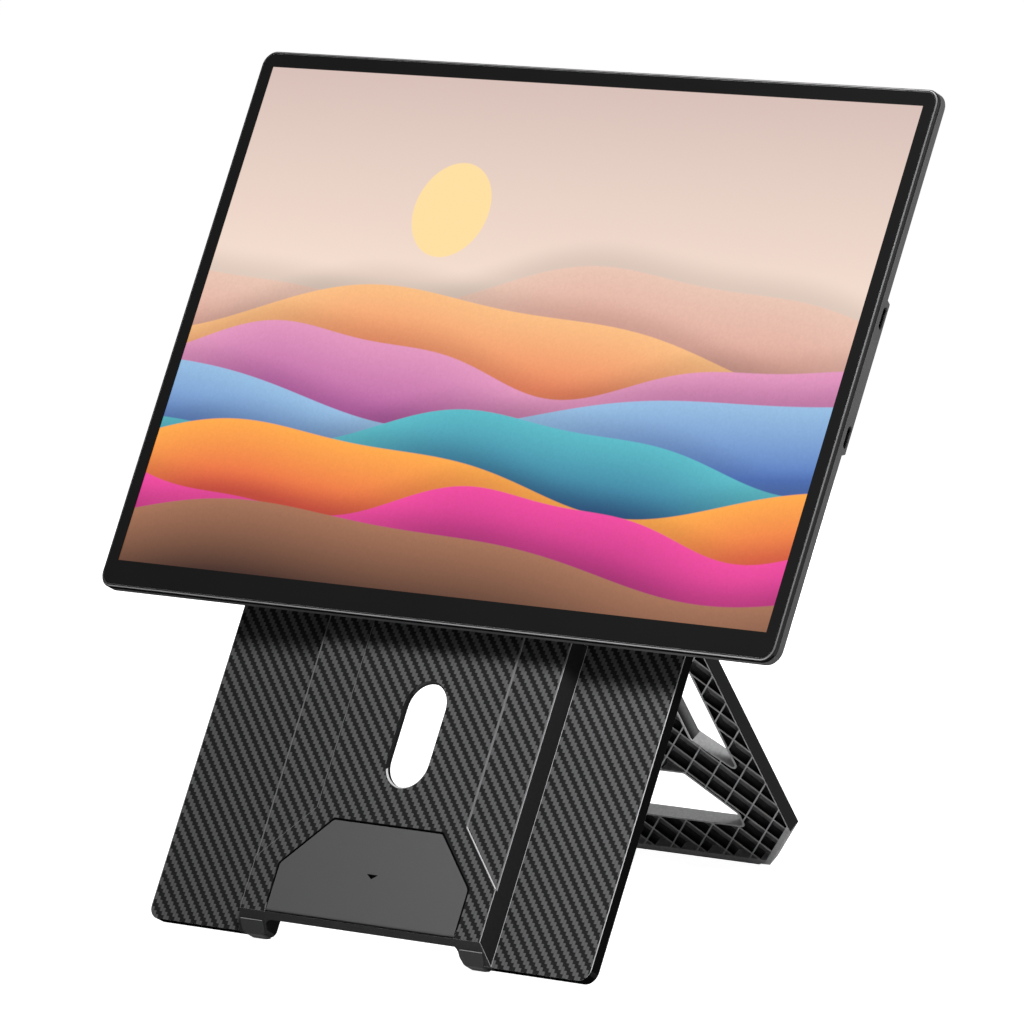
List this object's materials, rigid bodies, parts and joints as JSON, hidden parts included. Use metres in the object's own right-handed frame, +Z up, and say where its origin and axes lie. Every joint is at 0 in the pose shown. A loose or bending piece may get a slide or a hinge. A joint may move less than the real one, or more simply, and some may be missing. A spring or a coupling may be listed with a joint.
{
  "type": "portable monitor on folding stand",
  "caption": "Portable monitor with a thin black border on a folding carbon-look stand with a ribbed rear leg, a fold-down flap and a height slide.",
  "frame": {"origin": "on the ground, under the middle of the whole object's box", "axes": "+X to the viewer's right along the monitor's width, +Y to the back, +Z up"},
  "size_m": [0.3584, 0.2056, 0.3261],
  "materials": {
    "bezel_black": "satin black",
    "picture": "smooth picture surface",
    "frame_grey": "dark grey anodised",
    "light_guide": "clear, polished",
    "tray": "plain sheet",
    "board_green": "solder mask",
    "led_white": "matte",
    "cable_orange": "film",
    "speaker_black": "matte",
    "socket_steel": "plain",
    "button_black": "satin",
    "screw_black": "black oxide",
    "insert_brass": "plain",
    "carriage_black": "satin black",
    "runner_black": "matte",
    "rubber": "matte",
    "carbon": "woven carbon look, satin",
    "cover_black": "matte",
    "flap_grey": "fine matte",
    "leg_black": "matte",
    "steel": "ground"
  },
  "bodies": {
    "stand": {"stand_panel": "carbon", "wing_back_cover_left": "cover_black", "wing_back_cover_right": "cover_black", "back_cover_screws": "screw_black", "flap_pins": "steel", "leg_hinge_shaft": "steel", "hinge_cap_left": "cover_black", "hinge_cap_right": "cover_black", "hinge_cap_screws": "screw_black", "hinge_washers": "steel", "hinge_cover": "cover_black", "hinge_cover_screws": "screw_black", "foot_pad_left": "rubber", "foot_pad_right": "rubber"},
    "leg": {"support_leg": "leg_black", "leg_foot_pad": "rubber"},
    "flap": {"stop_flap": "flap_grey"},
    "display": {"backlight_tray": "tray", "bezel_frame": "frame_grey", "board_screws": "screw_black", "brake_pads": "rubber", "button_board": "board_green", "carriage_plate": "carriage_black", "display_cable": "cable_orange", "front_bezel": "bezel_black", "key_switches": "speaker_black", "lcd_cell": "picture", "led_strip": "led_white", "light_guide": "light_guide", "main_board": "board_green", "mount_inserts": "insert_brass", "mount_screws": "screw_black", "rear_cover": "frame_grey", "rear_cover_screws": "screw_black", "runner_screws": "screw_black", "slide_runner_left": "runner_black", "slide_runner_right": "runner_black", "speaker_left": "speaker_black", "speaker_right": "speaker_black", "usb_c_port_lower": "socket_steel", "usb_c_port_upper": "socket_steel"},
    "power_key": {"power_button": "button_black"},
    "menu_up_key": {"menu_up_button": "button_black"},
    "menu_down_key": {"menu_down_button": "button_black"}
  },
  "joints": [
    {"name": "leg_fold", "type": "hinge", "parent": "stand", "child": "leg", "pos_m": [0, -0.00103, 0.17382], "axis": [-1, 0, 0], "range_deg": [0, 60.2]},
    {"name": "flap_fold", "type": "hinge", "parent": "stand", "child": "flap", "pos_m": [0, -0.10127, 0.01365], "axis": [1, 0, 0], "range_deg": [0, 90]},
    {"name": "height_slide", "type": "slide", "parent": "stand", "child": "display", "axis": [0, -0.5029, -0.8644], "range_m": [0, 0.045]},
    {"name": "power_press", "type": "slide", "parent": "display", "child": "power_key", "axis": [1, 0, 0], "range_m": [0, 0.0004], "stiffness_N_per_m": 1500},
    {"name": "menu_up_press", "type": "slide", "parent": "display", "child": "menu_up_key", "axis": [1, 0, 0], "range_m": [0, 0.0004], "stiffness_N_per_m": 1500},
    {"name": "menu_down_press", "type": "slide", "parent": "display", "child": "menu_down_key", "axis": [1, 0, 0], "range_m": [0, 0.0004], "stiffness_N_per_m": 1500}
  ]
}
